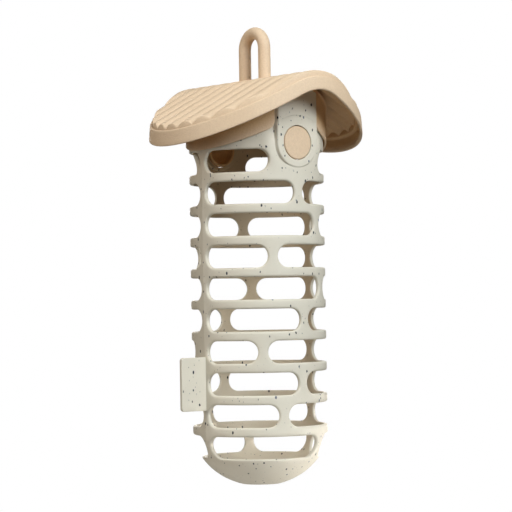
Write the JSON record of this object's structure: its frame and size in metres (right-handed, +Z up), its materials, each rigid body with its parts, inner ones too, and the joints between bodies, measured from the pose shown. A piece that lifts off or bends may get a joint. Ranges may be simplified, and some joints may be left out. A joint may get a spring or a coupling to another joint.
{
  "type": "fat ball feeder",
  "caption": "Hanging fat ball feeder: slotted cylindrical cage with a domed bottom and side fin, under a ribbed gable roof with a hanging loop that lifts off when the side buttons are pressed.",
  "frame": {"origin": "under the arch of the hanging loop, where the hook bears, on the cage's axis", "axes": "+Z up along the cage's axis, Y along the roof's ridge with the front latch on -Y, X across the roof with the fin on -X"},
  "size_m": [0.1368, 0.1368, 0.2918],
  "materials": {
    "cage_plastic": "matte cream with dark flecks",
    "roof_plastic": "matte sand, finely textured",
    "screw_steel": "plain zinc"
  },
  "bodies": {
    "cage": {"cage_body": "cage_plastic"},
    "roof": {"roof_shell": "roof_plastic", "lid_collar": "roof_plastic", "hanging_loop": "roof_plastic", "front_loop_screw": "screw_steel", "back_loop_screw": "screw_steel"},
    "front_latch": {"front_push_latch": "roof_plastic"},
    "back_latch": {"back_push_latch": "roof_plastic"}
  },
  "joints": [
    {"name": "roof_lift", "type": "slide", "parent": "cage", "child": "roof", "axis": [0, 0, 1], "range_m": [0, 0.08], "deforming": ["front_push_latch", "back_push_latch"]},
    {"name": "front_button_press", "type": "hinge", "parent": "roof", "child": "front_latch", "pos_m": [0, -0.0377, -0.03511], "axis": [1, 0, 0], "range_deg": [0, 9], "stiffness_Nm_per_rad": 2},
    {"name": "back_button_press", "type": "hinge", "parent": "roof", "child": "back_latch", "pos_m": [0, 0.0377, -0.03511], "axis": [-1, 0, 0], "range_deg": [0, 9], "stiffness_Nm_per_rad": 2}
  ]
}
